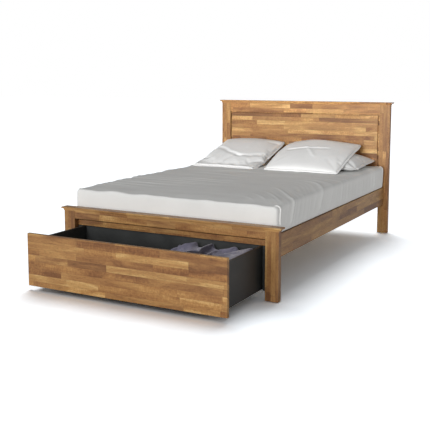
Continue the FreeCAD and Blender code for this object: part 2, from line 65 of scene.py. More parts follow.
# ---- numbers, in metres unless they say otherwise ----
CAMERA_PLACE = (2.2708, -4.4367, 1.1846)
CAMERA_YAW = 28.34            # degrees
CAMERA_PITCH = 7.10           # degrees below level
CAMERA_LENS = 63.85           # millimetres
SENSOR_WIDTH = 36.0           # millimetres
CAMERA_SHIFT = -0.10          # of the picture's width
HORIZON_LIGHT = 0.36          # strength of the surround
OVERHEAD_LIGHT = 0.29
FLOOR_LIFT = (2.01, 2.1, 2.19)    # how many times brighter the camera sees the floor: red, green, blue
FLOOR_SIZE = 60.0
FLOOR_GAP = 0.0002            # between the floor and the bed's lowest point

ROW_ORIGIN = 7.013            # rows of staves count from here, well outside the bed
GLUE_LINE = 0.0006            # half the width of the line between two staves

PILLOW_FRAMES = 32
PILLOW_MESH = 0.0115
PILLOW_PLUMP = 0.045          # half the bag's height before it is filled
PILLOW_LAYER = 0.0018         # thickness of the hem's cloth
PILLOW_CLOTH = {"quality": 5, "mass": 0.3, "tension_stiffness": 22.0, "compression_stiffness": 22.0,
                "shear_stiffness": 9.0, "bending_stiffness": 0.5, "tension_damping": 6.0,
                "compression_damping": 6.0, "air_damping": 3.0, "use_pressure": True,
                "uniform_pressure_force": 0.0, "use_pressure_volume": True, "pressure_factor": 80.0}
HEM_RINGS = (0.0, 0.25, 0.6, 1.0)     # steps across the hem, from the seam out
HEM_OVERLAP = 0.002           # how far the hem starts inside the seam
CREASE_REACH = 0.048          # how far from a crease its hollow ends

SHEET_MESH = 0.0070
SHEET_GAP = 0.0018            # the least the sheet stands off the mattress
SHEET_LAYER = 0.0010
SHEET_EDGE = 0.020            # how strongly the sheet's edges at the foot are squared
SHEET_HEM = 0.004             # how far above the mattress's underside the sheet ends
SHEET_LIFT = 0.0030           # how far the sheet stands off where it lies flat
BROAD_SWELL = 0.0048          # heights of its folds: broad ones, creases, finer creases, and more height
CREASE = 0.0052               # for the creases that gather at the right-hand side near the foot
FINE_CREASE = 0.0024
GATHERED_CREASE = 0.0034
FOOT_SWELL = 0.0060           # heights of the bulges on its foot face and left face
SIDE_ROLL = 0.0095
SAG_DEPTH = 0.0125            # the dips of its top edge at the foot, and how far from there they reach
SAG_REACH = 0.11
TOP_RADIUS = 0.016            # the rounding of the mattress's top edges
SEAM_START = 0.014            # how far the corner seams reach onto the flat top
SEAM_STEPS, SEAM_AROUND = 40, 8

THROW_FRAMES = 14
THROW_GRID = (96, 62)
THROW_LAYER = 0.0035
FOLD_HEIGHT = 0.044
THROW_CLOTH = {"quality": 5, "mass": 0.3, "tension_stiffness": 15.0, "compression_stiffness": 15.0,
               "shear_stiffness": 6.0, "bending_stiffness": 0.8, "air_damping": 2.0, "shrink_min": -0.10}


# ---- shapes of curves ----
def noise_at(x, y, z):
    """A smooth noise from about -1 to 1, the same every time."""
    return noise.noise(Vector((x, y, z)))


def smoothstep(low, high, value):
    t = min(max((value - low) / (high - low), 0.0), 1.0)
    return t * t * (3.0 - 2.0 * t)


def ridge(value, sharpness):
    """A sharp crest where a noise crosses zero."""
    return max(0.0, 1.0 - 2.2 * abs(value)) ** sharpness


def height_on(profile, y):
    """How high a section, as points in Y and Z, is at a place along the bed."""
    for (y0, z0), (y1, z1) in zip(profile, profile[1:]):
        if y <= y1:
            return z0 + (z1 - z0) * max(0.0, (y - y0) / (y1 - y0))
    return profile[-1][1]


# ---- node helpers ----
class Recipe:
    """A material under construction: adds nodes and links them with short calls."""

    def __init__(self, name):
        self.material = bpy.data.materials.new(name)
        self.material.use_nodes = True
        self.tree = self.material.node_tree
        self.shader = self.tree.nodes["Principled BSDF"]
        coordinates = self.add("ShaderNodeTexCoord").outputs
        self.place = coordinates["Object"]
        self.axes = self.parts(self.place)
        self.facing = self.parts(coordinates["Normal"])

    def add(self, kind, *inputs, **settings):
        """A node with its first inputs linked or set in order. None leaves one as it is."""
        node = self.tree.nodes.new(kind)
        for key, value in settings.items():
            setattr(node, key, value)
        for socket, value in zip(node.inputs, inputs):
            self.feed(socket, value)
        return node

    def feed(self, socket, value):
        if isinstance(value, bpy.types.NodeSocket):
            self.tree.links.new(value, socket)
        elif value is not None:
            socket.default_value = value

    def math(self, operation, a, b=None, c=None):
        return self.add("ShaderNodeMath", a, b, c, operation=operation).outputs[0]

    def vector(self, x, y, z):
        return self.add("ShaderNodeCombineXYZ", x, y, z).outputs[0]

    def parts(self, vector):
        return list(self.add("ShaderNodeSeparateXYZ", vector).outputs)

    def stretched(self, along, along_scale, across_scale, start=0.0, warp=0.0):
        """Where a point is, with the grain's own axis first and scaled so that a noise makes streaks."""
        across = [self.math("MULTIPLY_ADD", self.axes[i], across_scale, warp) for i in range(3) if i != along]
        return self.vector(self.math("MULTIPLY_ADD", self.axes[along], along_scale, start), *across)

    def varied(self, base, pattern, amount):
        """The base moved up and down by a pattern round 0.5."""
        return self.math("MULTIPLY_ADD", self.math("SUBTRACT", pattern, 0.5), amount, base)

    def spread(self, value, low, high, to_low=0.0, to_high=1.0):
        """The value moved from one range to another and clamped to it."""
        return self.add("ShaderNodeMapRange", value, low, high, to_low, to_high).outputs[0]

    def noise(self, where, scale, detail=3.0, roughness=0.55, distortion=0.0):
        node = self.add("ShaderNodeTexNoise")
        for name, value in (("Vector", where), ("Scale", scale), ("Detail", detail),
                            ("Roughness", roughness), ("Distortion", distortion)):
            self.feed(node.inputs[name], value)
        return node.outputs["Fac"]

    def chance(self, where):
        """A random number from 0 to 1 that is the same wherever the vector is."""
        return self.add("ShaderNodeTexWhiteNoise", where, noise_dimensions="3D").outputs["Value"]

    def ramp(self, value, stops):
        node = self.add("ShaderNodeValToRGB", value)
        elements = node.color_ramp.elements
        while len(elements) < len(stops):
            elements.new(0.5)
        for element, (position, colour) in zip(elements, stops):
            element.position = position
            element.color = (*colour, 1.0)
        return node.outputs["Color"]

    def mix(self, amount, a, b, blend="MIX"):
        node = self.add("ShaderNodeMix", data_type="RGBA", blend_type=blend)
        for socket, value in ((node.inputs[0], amount), (node.inputs[6], a), (node.inputs[7], b)):
            if isinstance(value, tuple):
                value = (*value, 1.0)
            self.feed(socket, value)
        return node.outputs[2]

    def darkened(self, colour, value):
        """The colour times a grey value."""
        grey = self.add("ShaderNodeCombineColor", value, value, value).outputs[0]
        return self.mix(1.0, colour, grey, "MULTIPLY")

    def bump(self, height, distance, strength=1.0):
        node = self.add("ShaderNodeBump")
        self.feed(node.inputs["Strength"], strength)
        self.feed(node.inputs["Distance"], distance)
        self.feed(node.inputs["Height"], height)
        self.tree.links.new(node.outputs["Normal"], self.shader.inputs["Normal"])

    def surface(self, colour, roughness, **fixed):
        """Links or sets colour and roughness, and sets the shader's constant sockets by name."""
        self.feed(self.shader.inputs["Base Color"], colour)
        self.feed(self.shader.inputs["Roughness"], roughness)
        for name, value in fixed.items():
            self.shader.inputs[name.replace("_", " ")].default_value = value
        return self.material


# ---- wood ----
ACACIA = ((0.0, (0.215, 0.092, 0.032)), (0.22, (0.300, 0.140, 0.048)), (0.45, (0.395, 0.200, 0.068)),
          (0.68, (0.480, 0.262, 0.090)), (0.86, (0.580, 0.345, 0.125)), (1.0, (0.690, 0.450, 0.185)))


def acacia(name, along, stave_width, stave_length, shade=1.0, contrast=0.72):
    """Satin butcher-block acacia: rows of staves glued side by side, each its own colour and grain. Shade
    makes it all darker or lighter, and contrast is how much one stave differs from the next."""
    r = Recipe(name)
    u = r.axes[along]
    v = r.math("ADD", *[r.axes[i] for i in range(3) if i != along])
    rows = r.math("DIVIDE", r.math("ADD", v, ROW_ORIGIN), stave_width)
    row = r.math("FLOOR", rows)
    row_chance = r.chance(r.vector(row, 3.7 + along, 0.5))
    phase = r.math("MULTIPLY", row_chance, 40.0)
    sway = r.math("SINE", r.math("MULTIPLY_ADD", u, 2.3 / stave_length, phase))
    lengthwise = r.math("MULTIPLY_ADD", sway, 0.28 * stave_length, u)
    staves = r.math("DIVIDE", r.math("MULTIPLY_ADD", row_chance, 3.0, lengthwise), stave_length)
    stave = r.math("FLOOR", staves)
    chance = r.chance(r.vector(row, stave, 1.5 + along))
    second = r.chance(r.vector(stave, row, 9.5))

    # grain: long streaks that start afresh in every stave
    shift = r.math("MULTIPLY", second, 37.0)
    streaks = r.noise(r.stretched(along, 2.2, 42.0, shift), 1.0, 5.0, 0.62, 0.6)
    bands = r.noise(r.stretched(along, 3.4, 15.0, shift), 1.0, 2.0, 0.5, 1.2)
    ripple = r.noise(r.stretched(along, 130.0, 70.0, shift), 1.0, 2.0, 0.6)
    pores = r.noise(r.stretched(along, 45.0, 620.0), 1.0, 2.0, 0.5)
    figured = r.math("GREATER_THAN", second, 0.55)

    tone = r.math("MULTIPLY_ADD", chance, contrast, 0.50 - 0.5 * contrast)
    tone = r.varied(tone, streaks, 0.95)
    tone = r.varied(tone, bands, 1.25)
    tone = r.varied(tone, ripple, r.math("MULTIPLY_ADD", figured, 0.5, 0.25))
    colour = r.ramp(tone, ACACIA)
    redder = r.mix(1.0, colour, (0.95, 0.84, 0.74), "MULTIPLY")
    colour = r.mix(r.math("MULTIPLY", second, 0.75), colour, redder)
    pore_shade = r.spread(pores, 0.30, 0.48, 0.62, 1.0)
    colour = r.darkened(colour, pore_shade)

    def glue_line(count, size):
        """1 in the middle of the line between two staves, and 0 beside it."""
        from_middle = r.math("ABSOLUTE", r.math("SUBTRACT", r.math("FRACT", count), 0.5))
        return r.spread(from_middle, 0.5 - GLUE_LINE / size, 0.5)

    line = r.math("MAXIMUM", glue_line(rows, stave_width), glue_line(staves, stave_length))
    colour = r.darkened(colour, r.spread(line, 0.0, 1.0, shade, 0.55 * shade))

    relief = r.math("ADD", r.math("MULTIPLY", streaks, 0.5), r.math("MULTIPLY", pores, 0.6))
    r.bump(r.math("MULTIPLY_ADD", line, -0.8, relief), 0.0004, 0.55)
    rough = r.math("MULTIPLY_ADD", streaks, 0.22, r.math("MULTIPLY_ADD", pore_shade, -0.08, 0.40))
    return r.surface(colour, rough, Coat_Weight=0.08, Coat_Roughness=0.28, Specular_IOR_Level=0.35)


def plain_wood(name, along, dark, light):
    """Planed softwood or beech: straight grain with growth bands."""
    r = Recipe(name)
    warp = r.noise(r.place, 5.0, 2.0)
    bands = r.noise(r.stretched(along, 1.6, 26.0, 0.0, warp), 1.0, 3.0, 0.5, 1.5)
    fibres = r.noise(r.stretched(along, 14.0, 420.0), 1.0, 3.0)
    middle = tuple((a + b) / 2 for a, b in zip(dark, light))
    colour = r.ramp(r.varied(bands, fibres, 0.35), ((0.30, dark), (0.50, middle), (0.72, light)))
    r.bump(fibres, 0.0004, 0.5)
    return r.surface(colour, r.math("MULTIPLY_ADD", fibres, 0.15, 0.54))


# ---- board, metal, plastic ----
def melamine(name):
    """Charcoal melamine with the faint pressed grain of such board."""
    r = Recipe(name)
    fine = r.noise(r.place, 900.0, 2.0)
    cloudy = r.noise(r.place, 9.0, 3.0)
    colour = r.ramp(r.varied(cloudy, fine, 0.5),
                    ((0.25, (0.021, 0.022, 0.022)), (0.75, (0.034, 0.036, 0.035))))
    r.bump(fine, 0.0002, 0.5)
    return r.surface(colour, r.spread(cloudy, 0.3, 0.7, 0.42, 0.55))


def zinc(name):
    """Bright zinc plate with a faint spangle."""
    r = Recipe(name)
    spangle = r.add("ShaderNodeTexVoronoi", r.place)
    spangle.inputs["Scale"].default_value = 260.0
    cloud = r.noise(r.place, 40.0, 3.0)
    tone = r.math("MULTIPLY_ADD", cloud, 0.6, r.math("MULTIPLY", spangle.outputs["Distance"], 0.4))
    colour = r.ramp(tone, ((0.2, (0.42, 0.43, 0.44)), (0.8, (0.68, 0.69, 0.70))))
    r.bump(cloud, 0.0001, 0.4)
    return r.surface(colour, r.spread(cloud, 0.3, 0.7, 0.28, 0.45), Metallic=1.0)


def moulded(name, dark, light, rough, grain_scale=1400.0):
    """Moulded plastic or rubber with a fine sparked texture and slight scuffs."""
    r = Recipe(name)
    grain = r.noise(r.place, grain_scale, 2.0)
    scuff = r.noise(r.place, 35.0, 4.0, 0.6, 1.0)
    colour = r.ramp(r.varied(scuff, grain, 0.3), ((0.3, dark), (0.75, light)))
    r.bump(grain, 0.00015, 0.6)
    return r.surface(colour, r.spread(scuff, 0.3, 0.7, rough - 0.06, rough + 0.08))


def dress(material, *names):
    """Gives the material to CAD nodes that stay as they are."""
    for name in names:
        data = nodes[name].data
        data.materials.clear()
        data.materials.append(material)


dress(acacia("acacia_front", X, 0.0372, 0.330), "drawer_front")
dress(acacia("acacia_panel", X, 0.0325, 0.360, 1.06, 0.78), "headboard_panel", "headboard_lower_rail")
dress(acacia("acacia_rail", X, 0.0350, 0.300, 1.0, 0.40),
      "footboard_rail", "drawer_stop_rail", "footboard_cap")
# The headboard's top rail and cap use the rail's wood made 1.3 times lighter: a painted light for the
# brighter light that falls on the headboard.
dress(acacia("acacia_rail_painted_light", X, 0.0350, 0.300, 1.30, 0.72), "headboard_top_rail", "headboard_cap")
dress(acacia("acacia_leg", Z, 0.0260, 0.420), "headboard_leg_left", "headboard_leg_right")
# The footboard's legs use the leg wood made darker: a painted shade for the shade that falls on the legs at
# the foot.
dress(acacia("acacia_leg_painted_shade", Z, 0.0260, 0.420, 0.88), "footboard_leg_left", "footboard_leg_right")
dress(acacia("acacia_side", Y, 0.0430, 0.450, 0.9), "side_rail_left", "side_rail_right")
dress(plain_wood("pine_across", X, (0.50, 0.33, 0.17), (0.74, 0.56, 0.35)), "slats", "stop_blocks")
dress(plain_wood("pine_lengthwise", Y, (0.48, 0.31, 0.16), (0.72, 0.54, 0.33)),
      "slat_ledger_left", "slat_ledger_right", "centre_beam", "castor_battens")
dress(plain_wood("pine_upright", Z, (0.49, 0.32, 0.17), (0.73, 0.55, 0.34)),
      "centre_leg_front", "centre_leg_rear", "pull_out_catches")
dress(plain_wood("beech", X, (0.52, 0.34, 0.19), (0.68, 0.49, 0.31)),
      "frame_dowels", "cap_dowels", "box_dowels")
dress(melamine("charcoal_board"),
      "guide_plates", "drawer_side_left", "drawer_side_right", "drawer_inner_front", "drawer_back",
      "drawer_bottom")
dress(zinc("zinc_steel"),
      *[part["node"] for part in frame["record"]["subparts"] if part["material_slot"] == "zinc_steel"])
dress(moulded("black_nylon", (0.018, 0.018, 0.02), (0.05, 0.05, 0.055), 0.5),
      "floor_glides", "centre_leg_levellers", "guide_strips")
dress(moulded("wheel_nylon", (0.05, 0.05, 0.055), (0.14, 0.14, 0.145), 0.42),
      *[f"castor_wheel_{end}_{side}" for end in ("front", "rear") for side in ("left", "right")])
dress(moulded("rubber", (0.012, 0.012, 0.012), (0.035, 0.035, 0.035), 0.8, 2200.0), "stop_bumpers")


# ---- cloth materials ----
def cloth(name, dark, light, thread=0.0011, cloud_scale=7.0, rough=0.86, sheen=0.25, slub=0.25):
    """Woven cloth: threads crossing at right angles, whichever way a face looks, with uneven yarn."""
    r = Recipe(name)
    waves = [r.math("SINE", r.math("MULTIPLY", axis, math.tau / thread)) for axis in r.axes]
    terms = []
    for i in range(3):
        facing = r.math("POWER", r.math("ABSOLUTE", r.facing[i]), 3.0)
        crossing = r.math("MULTIPLY", waves[(i + 1) % 3], waves[(i + 2) % 3])
        terms.append(r.math("MULTIPLY", facing, crossing))
    weave = r.math("ADD", r.math("ADD", terms[0], terms[1]), terms[2])
    yarn = r.noise(r.place, 1.0 / thread * 0.35, 2.0, 0.6)
    cloud = r.noise(r.place, cloud_scale, 3.0, 0.5)
    tone = r.math("MULTIPLY_ADD", weave, 0.06, r.varied(cloud, yarn, slub))
    colour = r.ramp(tone, ((0.25, dark), (0.75, light)))
    r.bump(r.math("MULTIPLY_ADD", weave, 0.5, yarn), thread * 0.22, 0.5)
    return r.surface(colour, r.spread(yarn, 0.3, 0.7, rough - 0.05, rough + 0.05),
                     Sheen_Weight=sheen, Sheen_Roughness=0.5)


ticking = cloth("ticking", (0.70, 0.70, 0.69), (0.80, 0.80, 0.79), thread=0.0016)
sheet_cloth = cloth("sheet_cotton", (0.87, 0.87, 0.85), (0.92, 0.92, 0.90), thread=0.0009, sheen=0.04)
throw_cloth = cloth("throw_knit", (0.125, 0.120, 0.170), (0.220, 0.208, 0.278),
                    thread=0.0042, cloud_scale=16.0, rough=0.92, sheen=0.45, slub=0.5)
pillow_cloth = cloth("pillowcase_cotton", (0.86, 0.86, 0.85), (0.92, 0.92, 0.91), sheen=0.06)


# ---- bedding: helpers ----
def placed(name, mesh):
    """A new object in the scene."""
    thing = bpy.data.objects.new(name, mesh)
    bpy.context.scene.collection.objects.link(thing)
    return thing


def shade_smooth(mesh):
    mesh.polygons.foreach_set("use_smooth", [True] * len(mesh.polygons))


def new_piece(name, mesh, material, slot_name, body, *replaced):
    """A piece of the visual model, on its body, in place of any plain CAD solids that are named."""
    piece = placed(name, mesh)
    mesh.materials.clear()
    mesh.materials.append(material)
    shade_smooth(mesh)
    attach(piece, body)
    if replaced:
        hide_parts(*replaced)
    return piece


def applied(piece):
    """The piece with its modifiers made part of its mesh."""
    evaluated = piece.evaluated_get(bpy.context.evaluated_depsgraph_get())
    mesh = bpy.data.meshes.new_from_object(evaluated)
    piece.modifiers.clear()
    piece.data = mesh
    return piece


def add_layer(piece, thickness, offset=-1.0):
    """Gives a surface the thickness of its cloth."""
    thicken = piece.modifiers.new("cloth", "SOLIDIFY")
    thicken.thickness = thickness
    thicken.offset = offset


def refined(piece):
    """The piece with one subdivision more and all its modifiers made part of its mesh."""
    smooth = piece.modifiers.new("smooth", "SUBSURF")
    smooth.levels = 1
    smooth.render_levels = 1
    applied(piece)
    shade_smooth(piece.data)


def reshape(mesh, change):
    """Runs a change on the mesh as a BMesh."""
    shaped = bmesh.new()
    shaped.from_mesh(mesh)
    change(shaped)
    shaped.to_mesh(mesh)
    shaped.free()


def surface_mesh(name, points, faces):
    mesh = bpy.data.meshes.new(name)
    mesh.from_pydata(points, [], faces)
    mesh.update()
    return mesh


def strips(rows):
    """The faces between rows of vertex numbers, each row as long as the next."""
    return [(a[k], a[k + 1], b[k + 1], b[k]) for a, b in zip(rows, rows[1:]) for k in range(len(a) - 1)]


def wall(name, points, faces):
    """A fixed surface that cloth rests on while it is being simulated, and only then."""
    thing = placed(name, surface_mesh(name, points, faces))
    thing.modifiers.new("collision", "COLLISION")
    thing.collision.thickness_outer = 0.003
    thing.collision.thickness_inner = 0.05
    thing.collision.cloth_friction = 8.0
    return thing


def ramp_wall(name, x0, x1, profile):
    """A wall that runs straight across, with its section given as points in Y and Z."""
    points = [(x, y, z) for y, z in profile for x in (x0, x1)]
    return wall(name, points, strips([(2 * i, 2 * i + 1) for i in range(len(profile))]))


def settle(piece, rest, frames, gravity, **chosen):
    """Runs a cloth simulation on the piece over a wall, keeps the result as its mesh, and drops the wall."""
    scene = bpy.context.scene
    scene.frame_set(1)
    simulated = piece.modifiers.new("cloth", "CLOTH")
    simulated.point_cache.frame_start = 1
    simulated.point_cache.frame_end = frames
    simulated.settings.effector_weights.gravity = gravity
    for name, value in chosen.items():
        setattr(simulated.settings, name, value)
    simulated.collision_settings.distance_min = 0.003
    for step in range(1, frames + 1):
        scene.frame_set(step)
    applied(piece)
    bpy.data.objects.remove(rest)
    scene.frame_set(1)


# ---- pillows ----
def bag_mesh(name, width, length):
    """A cloth bag: two rectangles of cloth joined round their edge and a little apart between. It comes
    with the seam, as vertex numbers in order, and the vertices just inside each vertex, above and below."""
    across, along = round(width / PILLOW_MESH), round(length / PILLOW_MESH)
    points, faces, layers = [], [], []
    for sign in (1, -1):
        rows = []
        for j in range(along + 1):
            row = []
            for i in range(across + 1):
                if sign < 0 and (i in (0, across) or j in (0, along)):
                    row.append(layers[0][j][i])
                    continue
                u = 2 * i / across - 1
                v = 2 * j / along - 1
                lift = sign * PILLOW_PLUMP * math.sqrt(max(0.0, (1 - u * u) * (1 - v * v)))
                corner = 1 - 0.035 * (u * v) ** 4
                row.append(len(points))
                points.append((u * width / 2 * corner, v * length / 2 * corner, lift))
            rows.append(row)
        layers.append(rows)
        faces += [quad[::sign] for quad in strips(rows)]
    top = layers[0]
    seam = (top[0][:-1] + [row[-1] for row in top[:-1]]
            + top[-1][:0:-1] + [row[0] for row in top[:0:-1]])
    inner = {}
    for rows in layers:
        for j in range(along + 1):
            for i in range(across + 1):
                near = rows[min(max(j, 1), along - 1)][min(max(i, 1), across - 1)]
                inner.setdefault(rows[j][i], []).append(near)
    return surface_mesh(name, points, faces), seam, inner


def flange(case, seam, inner, width, floor_height, back_limit):
    """The flat hem that stands out past a pillowcase's seam all round."""
    points = [v.co for v in case.data.vertices]
    count = len(seam)
    ways = []
    for index in seam:
        behind = sum((points[k] for k in inner[index]), Vector()) / len(inner[index])
        ways.append((points[index] - behind).normalized())
    rim = []
    for k, index in enumerate(seam):
        way = sum((ways[(k + d) % count] for d in (-2, -1, 0, 1, 2)), Vector()).normalized()
        ripple = noise_at(k * 0.11, 3.0, case.location.x)
        for ring in HEM_RINGS:
            point = points[index] + way * (width * ring - HEM_OVERLAP)
            point.z += 0.005 * ring * ripple - 0.010 * ring * ring
            point.z = max(point.z, floor_height + 0.0025)
            point.y = min(point.y, back_limit)
            rim.append(point)
    deep = len(HEM_RINGS)
    faces = []
    for k in range(count):
        here, there = k * deep, (k + 1) % count * deep
        faces += [(here + ring, there + ring, there + ring + 1, here + ring + 1) for ring in range(deep - 1)]
    return surface_mesh(case.name + "_hem", rim, faces)


def crease_at(place, path, wide, high, dip):
    """How far a fold along a path in plan moves a point out or in: a crest on the path, and a hollow on
    its foot side."""
    nearest, offset = 1.0, 0.0
    for (ax, ay), (bx, by) in zip(path, path[1:]):
        run = Vector((bx - ax, by - ay))
        off = Vector((place.x - ax, place.y - ay))
        t = min(max(off.dot(run) / run.length_squared, 0.0), 1.0)
        gap = off - run * t
        if gap.length < nearest:
            nearest = gap.length
            offset = nearest if run.x * gap.y - run.y * gap.x > 0.0 else -nearest
    if offset > 0.0:
        return high * math.exp(-(offset / (2.0 * wide)) ** 2)
    if offset > -wide:
        return high - (high + dip) * smoothstep(0.0, wide, -offset)
    return -dip * (1.0 - smoothstep(wide, CREASE_REACH, -offset))


def pillow(node, flat_width, flat_length, centre, lean, hem_width, rest, creases, filling, lid=None):
    """A pillow in its case: a bag of cloth that is filled, left to settle, then creased and hemmed. Lean
    is its angles about X and Y, rest the section that it lies on, and filling its volume in cubic metres.
    Where another pillow lies on it, lid is the X that this reaches to and the other's underside."""
    mesh, seam, inner = bag_mesh(node + "_case", flat_width, flat_length)
    mesh.transform(Matrix.Translation(centre) @ Matrix.Rotation(lean[0], 4, "X")
                   @ Matrix.Rotation(lean[1], 4, "Y"))
    piece = new_piece(node + "_case", mesh, pillow_cloth, "white_pillowcase", "bed_frame", node)
    bed = ramp_wall(node + "_bed", -0.72, 0.72, rest)
    settle(piece, bed, PILLOW_FRAMES, 0.06, target_volume=filling, **PILLOW_CLOTH)
    back_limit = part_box("headboard_panel")[0].y - 0.003
    normals = [v.normal.copy() for v in piece.data.vertices]
    for vertex, normal in zip(piece.data.vertices, normals):
        place = vertex.co.copy()
        if normal.z > -0.1:
            place += normal * sum(crease_at(vertex.co, *crease) for crease in creases)
        if lid:
            over = max(0.0, place.z - height_on(lid[1], place.y) + 0.004)
            place.z -= over * (1.0 - smoothstep(lid[0] - 0.03, lid[0] + 0.02, place.x))
        place.z = max(place.z, sheet_top + 0.0015)
        place.y = min(place.y, back_limit)
        vertex.co = place
    hem = placed("hem", flange(piece, seam, inner, hem_width, sheet_top, back_limit))
    add_layer(hem, PILLOW_LAYER)
    applied(hem)
    reshape(piece.data, lambda joined: joined.from_mesh(hem.data))
    bpy.data.objects.remove(hem)
    refined(piece)


# ---- mattress and fitted sheet ----
def remeshed_copy(name, node, voxel):
    """An even quad mesh with the shape of a CAD solid."""
    source = placed(name, nodes[node].data.copy())
    remesh = source.modifiers.new("remesh", "REMESH")
    remesh.mode = "VOXEL"
    remesh.voxel_size = voxel
    smooth = source.modifiers.new("smooth", "SMOOTH")
    smooth.iterations = 3
    mesh = applied(source).data
    bpy.data.objects.remove(source)
    return mesh


def squared_edge(normal):
    """How far the sheet is drawn out past the mattress's rounding, so its edges at the foot are crisp."""
    a = abs(normal.y)
    b = math.sqrt(max(0.0, 1.0 - a * a))
    return SHEET_EDGE * ((a ** 6 + b ** 6) ** (-1.0 / 6.0) - 1.0)


def sheet_fold(place, low, high):
    """A value that every place on one fold of the sheet shares. Folds run across the bed, turn towards
    the foot as they near the right-hand edge, and go on down the side."""
    far = smoothstep(low.y + 0.45, low.y + 1.10, place.y)
    turn = smoothstep(0.28, high.x + 0.12, place.x)
    drop = high.z - place.z if place.x > 0.0 else 0.0
    wander = 0.030 * noise_at(place.x * 2.1, place.y * 1.7, 4.0)
    return place.y + (0.46 - 0.30 * far) * turn ** 1.3 + (0.36 - 0.22 * far) * drop + wander


def sheet_lift(place, low, high):
    """How far the fitted sheet stands off the mattress, in metres."""
    x, y, z = place
    line = sheet_fold(place, low, high)
    broad = noise_at(x * 0.9, line * 6.0, 1.0)
    fine = ridge(noise_at(x * 0.9, line * 9.0, 7.0), 3.5)
    finer = ridge(noise_at(x * 1.5, line * 17.0, 12.0), 3.0)
    patch = smoothstep(-0.30, 0.30, noise_at(x * 1.6, y * 1.4, 21.0))
    right = smoothstep(0.30, high.x - 0.02, x)
    near_foot = smoothstep(low.y + 0.09, low.y + 0.20, y) * (1.0 - smoothstep(low.y + 0.50, low.y + 1.15, y))
    gathered = right * near_foot
    crests = (CREASE * fine + FINE_CREASE * finer) * max(0.85 * patch, gathered)
    crests += GATHERED_CREASE * gathered * fine
    foot = 1.0 - smoothstep(low.y + 0.03, low.y + 0.16, y)
    side = 1.0 - smoothstep(low.x + 0.01, low.x + 0.08, x)
    roll = noise_at(5.0, y * 5.2, 1.0) + 0.4 * noise_at(2.0, y * 13.0, 1.0)
    swell = noise_at(x * 4.0, 2.0, z * 2.5) + 0.35 * noise_at(x * 11.0, 9.0, z * 4.0)
    down = smoothstep(low.z, low.z + 0.06, z)
    lift = SHEET_LIFT + BROAD_SWELL * broad + crests
    return down * (lift * (1.0 - 0.7 * foot) + FOOT_SWELL * foot * swell + SIDE_ROLL * side * roll)


def foot_sag(place, low, high):
    """How far the sheet's top edge at the foot dips, which makes it a wavy line."""
    near = math.exp(-(max(0.0, place.y - low.y) / SAG_REACH) ** 2)
    wave = noise_at(place.x * 3.4, 11.0, 0.0) + 0.45 * noise_at(place.x * 9.0, 3.0, 0.0)
    return SAG_DEPTH * near * smoothstep(low.z + 0.04, high.z, place.z) * (wave - 0.35)


def sheet_place(point, normal, low, high):
    """Where a point of the mattress's surface has its point of the sheet."""
    lift = sheet_lift(point, low, high) + squared_edge(normal)
    place = point + normal * max(SHEET_GAP, SHEET_GAP + lift)
    place.z += foot_sag(point, low, high)
    return place


def over_the_edge(travel, top):
    """A way from the mattress's top over its rounded edge and down: how far in it is, how high, and the
    angle that it faces at."""
    angle = min(max(travel - SEAM_START, 0.0) / TOP_RADIUS, math.pi / 2)
    inset = TOP_RADIUS * (1.0 - math.sin(angle)) + max(0.0, SEAM_START - travel)
    fall = max(0.0, travel - SEAM_START - TOP_RADIUS * math.pi / 2)
    return inset, top - TOP_RADIUS * (1.0 - math.cos(angle)) - fall, angle


def corner_seams(low, high):
    """The sewn ridge down the side at each corner of the fitted sheet, as one mesh."""
    points, faces = [], []
    way = SEAM_START + TOP_RADIUS * math.pi / 2 + high.z - low.z - TOP_RADIUS - 0.012
    for sx, edge_x in ((-1.0, low.x), (1.0, high.x)):
        for sy, edge_y in ((-1.0, low.y), (1.0, high.y)):
            rings = []
            size = 1.0 if sy < 0 else 0.4
            for i in range(SEAM_STEPS + 1):
                t = (i / SEAM_STEPS) ** 1.4
                inset, z, angle = over_the_edge(way * t, high.z)
                over = smoothstep(0.0, 0.22, t)
                y = edge_y - sy * (0.016 + 0.018 * over + 0.003 * math.sin(7.0 * t + edge_x))
                outward = Vector((sx * math.sin(angle), 0.0, math.cos(angle)))
                base = sheet_place(Vector((edge_x - sx * inset, y, z)), outward, low, high)
                full = smoothstep(0.0, 0.12, t)
                centre = base + outward * (0.0015 * full - 0.0020 * (1.0 - full))
                across = Vector((0.0, sy, 0.0))
                ring = []
                for k in range(SEAM_AROUND):
                    turn = math.tau * k / SEAM_AROUND
                    ring.append(len(points))
                    points.append(centre + across * math.cos(turn) * 0.0042 * size * (0.4 + 0.6 * full)
                                  + outward * math.sin(turn) * 0.0050 * size * (0.3 + 0.7 * full))
                rings.append(ring)
            faces += strips([ring + ring[:1] for ring in rings])
            faces += [tuple(rings[0]), tuple(rings[-1][::-1])]
    mesh = surface_mesh("seams", points, faces)
    reshape(mesh, lambda shaped: bmesh.ops.recalc_face_normals(shaped, faces=shaped.faces))
    return new_piece("fitted_sheet_corner_seams", mesh, sheet_cloth, "white_sheet", "bed_frame")


def mattress():
    """The mattress under the sheet, a little smaller than its CAD solid and lightly quilted."""
    mesh = remeshed_copy("mattress_core", "mattress", 0.012)
    low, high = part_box("mattress")
    normals = [v.normal.copy() for v in mesh.vertices]
    for vertex, normal in zip(mesh.vertices, normals):
        place = vertex.co.copy()
        quilt = math.sin(place.x * 42.0) * math.sin(place.y * 42.0)
        place -= normal * (0.0016 + 0.0012 * quilt * quilt)
        place.z += min(0.0, 1.3 * foot_sag(vertex.co, low, high))
        place.z = max(place.z, low.z + 0.0005)
        vertex.co = place
    piece = new_piece("mattress_core", mesh, ticking, "ticking", "bed_frame", "mattress")


